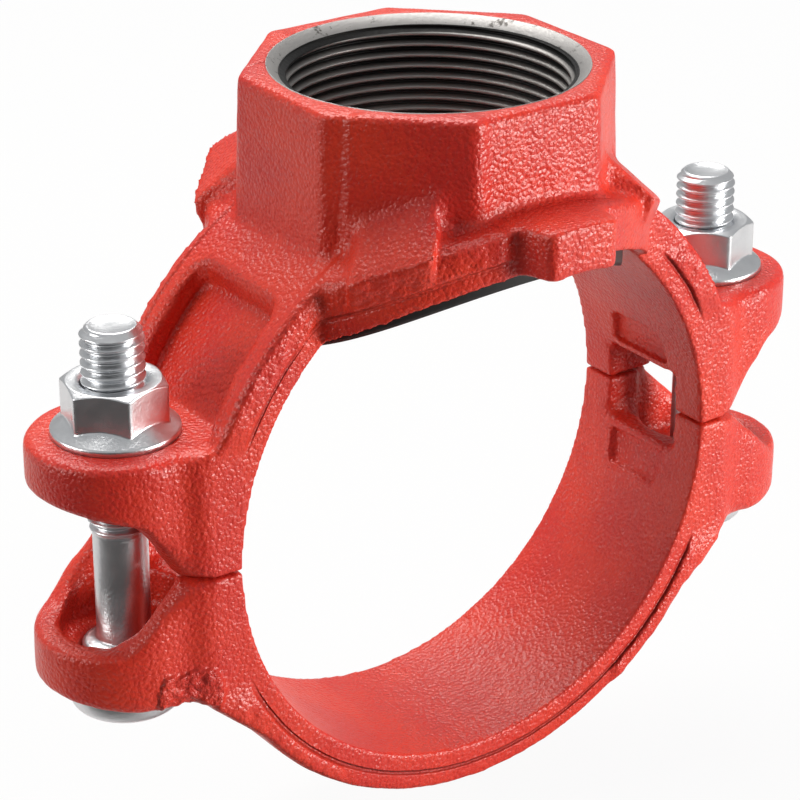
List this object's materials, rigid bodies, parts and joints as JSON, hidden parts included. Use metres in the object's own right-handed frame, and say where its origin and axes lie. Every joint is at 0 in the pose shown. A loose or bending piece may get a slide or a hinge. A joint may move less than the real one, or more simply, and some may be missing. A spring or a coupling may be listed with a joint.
{
  "type": "mechanical tee",
  "caption": "Bolted branch outlet: two cast half straps clamp round a run pipe, with an eight-sided threaded outlet and a gasket, drawn together by track-head bolts.",
  "frame": {"origin": "where the run pipe's axis and the outlet's axis cross, on the castings' parting plane", "axes": "+Z along the outlet's axis, out of its mouth; +Y along the run pipe; the two bolts stand on X"},
  "size_m": [0.185, 0.102, 0.155],
  "materials": {
    "housing_paint": "orange-red enamel on rough cast ductile iron",
    "gasket_rubber": "moulded, matt",
    "zinc_steel": "bright zinc plating"
  },
  "bodies": {
    "upper": {"upper_housing": "housing_paint", "gasket": "gasket_rubber"},
    "lower": {"lower_housing": "housing_paint", "bolt_left": "zinc_steel", "bolt_right": "zinc_steel"},
    "left_nut": {"nut_left": "zinc_steel"},
    "right_nut": {"nut_right": "zinc_steel"}
  },
  "joints": [
    {"name": "lower_drop", "type": "slide", "parent": "upper", "child": "lower", "axis": [0, 0, -1], "range_m": [0, 0.011]},
    {"name": "left_nut_spin", "type": "hinge", "parent": "upper", "child": "left_nut", "pos_m": [-0.0745, 0, 0.0326], "axis": [0, 0, 1], "range_deg": [0, 2030]},
    {"name": "right_nut_spin", "type": "hinge", "parent": "upper", "child": "right_nut", "pos_m": [0.0745, 0, 0.0326], "axis": [0, 0, 1], "range_deg": [0, 2030]}
  ],
  "couplings": [
    {"joint": "left_nut_spin", "follows": "lower_drop", "rad_per_m": 3215.6},
    {"joint": "right_nut_spin", "follows": "lower_drop", "rad_per_m": 3215.6}
  ]
}
